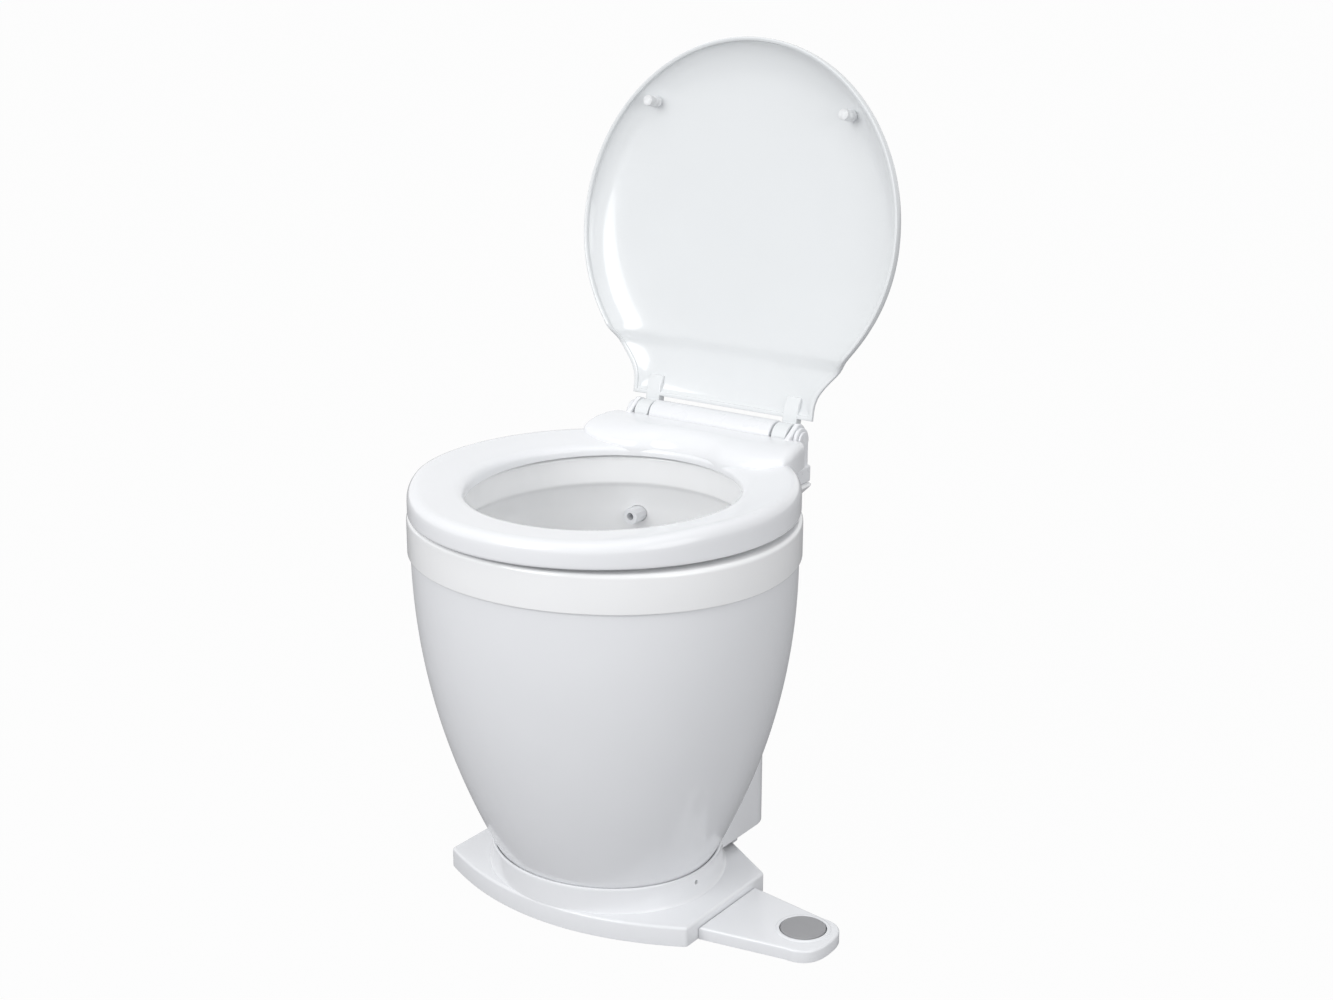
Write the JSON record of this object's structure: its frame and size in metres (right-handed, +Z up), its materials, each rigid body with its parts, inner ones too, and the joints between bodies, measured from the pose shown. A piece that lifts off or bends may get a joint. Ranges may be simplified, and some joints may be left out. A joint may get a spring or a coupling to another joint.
{
  "type": "electric toilet",
  "caption": "Electric toilet with a tapering oval casing, a low plinth, a foot switch, a seat ring and a hinged lid that stands open, with its pump and valve inside.",
  "frame": {"origin": "middle of the plinth's underside, on the floor", "axes": "+Z up, front of the bowl toward -Y, hinge toward +Y, foot switch toward +X"},
  "size_m": [0.448, 0.4485, 0.8066],
  "materials": {
    "casing_white": "glossy white moulded plastic",
    "bowl_white": "glossy white glaze",
    "seat_white": "glossy white moulded plastic",
    "lid_white": "glossy white moulded plastic",
    "hinge_white": "white moulded plastic",
    "plate_white": "plain white plastic",
    "button_grey": "mid-grey matt",
    "pad_white": "off-white matt",
    "rubber_black": "matt black",
    "pump_black": "black moulded plastic",
    "motor_black": "black painted steel",
    "valve_blue": "dark blue plastic",
    "steel": "plain stainless steel",
    "bronze": "cast bronze"
  },
  "bodies": {
    "base": {"plinth": "casing_white", "outer_shell": "casing_white", "rear_cover": "casing_white", "footswitch_housing": "casing_white", "bowl": "bowl_white", "hinge_bracket_left": "hinge_white", "hinge_bracket_right": "hinge_white", "hinge_cap_left": "hinge_white", "hinge_cap_right": "hinge_white", "damper_barrel": "hinge_white", "hinge_nut_left": "hinge_white", "hinge_nut_right": "hinge_white", "flush_nozzle": "hinge_white", "footswitch_base_plate": "plate_white", "flush_hose": "pad_white", "bowl_outlet_sleeve": "rubber_black", "joker_valve": "rubber_black", "shaft_seal": "rubber_black", "pump_cradle": "rubber_black", "motor_cradle": "rubber_black", "power_gland": "rubber_black", "switch_cable": "rubber_black", "motor_cable": "rubber_black", "valve_cable": "rubber_black", "pump_housing": "pump_black", "pump_front_plate": "pump_black", "discharge_spigot": "pump_black", "control_box": "pump_black", "microswitch_body": "pump_black", "valve_coil": "pump_black", "motor_can": "motor_black", "valve_body": "valve_blue", "hinge_pin": "steel", "hinge_bolt_left": "steel", "hinge_bolt_right": "steel", "shell_screw_left": "steel", "shell_screw_right": "steel", "rear_cover_screw_left": "steel", "rear_cover_screw_right": "steel", "sleeve_clamp_lower": "steel", "sleeve_clamp_upper": "steel", "service_bracket": "steel", "motor_end_cap": "steel", "button_spring": "steel", "inlet_barb": "bronze"},
    "lid": {"lid": "lid_white", "lid_buffer_left": "pad_white", "lid_buffer_right": "pad_white"},
    "seat": {"seat": "seat_white", "seat_buffer_front_left": "pad_white", "seat_buffer_front_right": "pad_white", "seat_buffer_rear_left": "pad_white", "seat_buffer_rear_right": "pad_white"},
    "button": {"foot_button": "button_grey"},
    "plunger": {"switch_plunger": "plate_white"},
    "rotor": {"motor_shaft": "steel", "motor_armature": "steel", "impeller": "bronze", "chopper_blade": "steel"},
    "valve": {"valve_plunger": "steel"}
  },
  "joints": [
    {"name": "lid_hinge", "type": "hinge", "parent": "base", "child": "lid", "pos_m": [0, 0.188, 0.4265], "axis": [1, 0, 0], "range_deg": [0, 100]},
    {"name": "seat_hinge", "type": "hinge", "parent": "base", "child": "seat", "pos_m": [0, 0.188, 0.4265], "axis": [-1, 0, 0], "range_deg": [0, 95]},
    {"name": "button_press", "type": "slide", "parent": "base", "child": "button", "axis": [0, 0, -1], "range_m": [0, 0.0015], "stiffness_N_per_m": 1500, "springref_m": -0.004, "deforming": ["button_spring"]},
    {"name": "plunger_press", "type": "slide", "parent": "base", "child": "plunger", "axis": [0, 0, -1], "range_m": [0, 0.0015]},
    {"name": "rotor_spin", "type": "hinge", "parent": "base", "child": "rotor", "pos_m": [0, 0.005, 0.064], "axis": [1, 0, 0], "continuous": true},
    {"name": "valve_lift", "type": "slide", "parent": "base", "child": "valve", "axis": [0, 0, 1], "range_m": [0, 0.004], "stiffness_N_per_m": 200, "springref_m": -0.004}
  ],
  "couplings": [
    {"joint": "plunger_press", "follows": "button_press", "ratio": 1}
  ]
}
